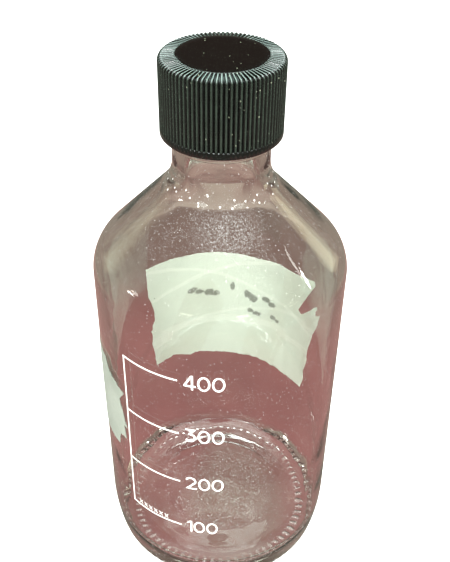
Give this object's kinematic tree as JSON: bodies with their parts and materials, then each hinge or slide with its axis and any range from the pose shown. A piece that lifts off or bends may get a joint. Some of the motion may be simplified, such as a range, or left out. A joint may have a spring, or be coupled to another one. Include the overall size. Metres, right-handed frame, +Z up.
{
  "type": "reagent bottle",
  "caption": "Clear glass reagent bottle with a ribbed black screw cap, a printed volume scale and torn paper labels.",
  "frame": {"origin": "centre of the standing ring, on the surface the bottle stands on", "axes": "+Z up along the bottle's axis; -Y is the front, where the numerals of the scale are; +X is to the right seen from the front"},
  "size_m": [0.0809, 0.0811, 0.1849],
  "materials": {
    "clear_glass": "clear gloss",
    "black_phenolic": "satin",
    "liner_film": "smooth",
    "liner_board": "matte",
    "label_paper": "matte",
    "cream_enamel": "fired print"
  },
  "bodies": {
    "bottle": {"bottle": "clear_glass", "back_label": "label_paper", "side_label_scrap": "label_paper", "scale_lines": "cream_enamel", "numeral_100_digit_1": "cream_enamel", "numeral_100_digit_2": "cream_enamel", "numeral_100_digit_3": "cream_enamel", "numeral_200_digit_1": "cream_enamel", "numeral_200_digit_2": "cream_enamel", "numeral_200_digit_3": "cream_enamel", "numeral_300_digit_1": "cream_enamel", "numeral_300_digit_2": "cream_enamel", "numeral_300_digit_3": "cream_enamel", "numeral_400_digit_1": "cream_enamel", "numeral_400_digit_2": "cream_enamel", "numeral_400_digit_3": "cream_enamel", "note_mark_1": "cream_enamel", "note_mark_2": "cream_enamel", "note_mark_3": "cream_enamel", "note_mark_4": "cream_enamel", "note_mark_5": "cream_enamel", "note_mark_6": "cream_enamel"},
    "liner": {"liner_facing": "liner_film", "liner_backing": "liner_board"},
    "cap": {"screw_cap": "black_phenolic"}
  },
  "joints": [
    {"name": "cap_lift", "type": "slide", "parent": "bottle", "child": "liner", "axis": [0, 0, 1], "range_m": [0, 0.0424]},
    {"name": "cap_turn", "type": "hinge", "parent": "liner", "child": "cap", "pos_m": [0, 0, 0.17], "axis": [0, 0, 1], "range_deg": [0, 3600]}
  ],
  "couplings": [
    {"joint": "cap_lift", "follows": "cap_turn", "m_per_rad": 0.00067375}
  ]
}
